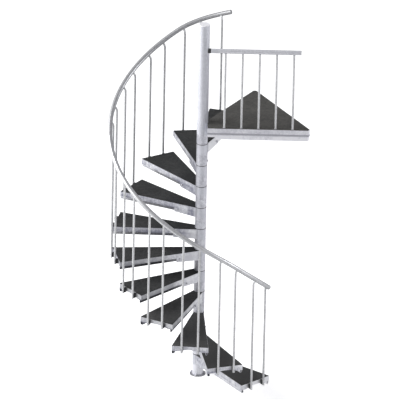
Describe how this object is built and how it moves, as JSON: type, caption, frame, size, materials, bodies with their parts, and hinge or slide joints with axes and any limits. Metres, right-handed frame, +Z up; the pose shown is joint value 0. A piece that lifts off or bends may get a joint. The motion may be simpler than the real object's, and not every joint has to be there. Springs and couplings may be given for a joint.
{
  "type": "spiral staircase",
  "caption": "Galvanised outdoor spiral staircase turning clockwise upward round one column, with wedge treads, a helical handrail and a triangular landing.",
  "frame": {"origin": "on the column's axis, on the floor face of the base flange", "axes": "+Z up along the column; +X out through the landing's wall edge, square to it; the flight climbs clockwise seen from above"},
  "size_m": [1.6494, 1.7225, 3.485],
  "materials": {
    "galvanised_sheet": "hot-dip galvanised, spangled",
    "galvanised_tube": "galvanised, satin",
    "deck_mat": "matt anthracite",
    "black_plastic": "matt black"
  },
  "bodies": {
    "root": {"base_flange": "galvanised_sheet", "centre_pole": "galvanised_sheet", "spacer_sleeves": "galvanised_sheet", "top_sleeve": "galvanised_sheet", "column_cap": "galvanised_sheet", "tread_01": "galvanised_sheet", "tread_02": "galvanised_sheet", "tread_03": "galvanised_sheet", "tread_04": "galvanised_sheet", "tread_05": "galvanised_sheet", "tread_06": "galvanised_sheet", "tread_07": "galvanised_sheet", "tread_08": "galvanised_sheet", "tread_09": "galvanised_sheet", "tread_10": "galvanised_sheet", "tread_11": "galvanised_sheet", "tread_mat_01": "deck_mat", "tread_mat_02": "deck_mat", "tread_mat_03": "deck_mat", "tread_mat_04": "deck_mat", "tread_mat_05": "deck_mat", "tread_mat_06": "deck_mat", "tread_mat_07": "deck_mat", "tread_mat_08": "deck_mat", "tread_mat_09": "deck_mat", "tread_mat_10": "deck_mat", "tread_mat_11": "deck_mat", "balusters_lower": "galvanised_tube", "baluster_spacers_lower": "black_plastic", "handrail_lower": "galvanised_tube", "balusters_middle": "galvanised_tube", "baluster_spacers_middle": "black_plastic", "handrail_middle": "galvanised_tube", "balusters_upper": "galvanised_tube", "baluster_spacers_upper": "black_plastic", "handrail_upper": "galvanised_tube", "landing_frame": "galvanised_sheet", "landing_mat": "deck_mat", "guard_balusters": "galvanised_tube", "guard_rail": "galvanised_tube", "rail_plugs": "galvanised_tube"}
  },
  "joints": []
}
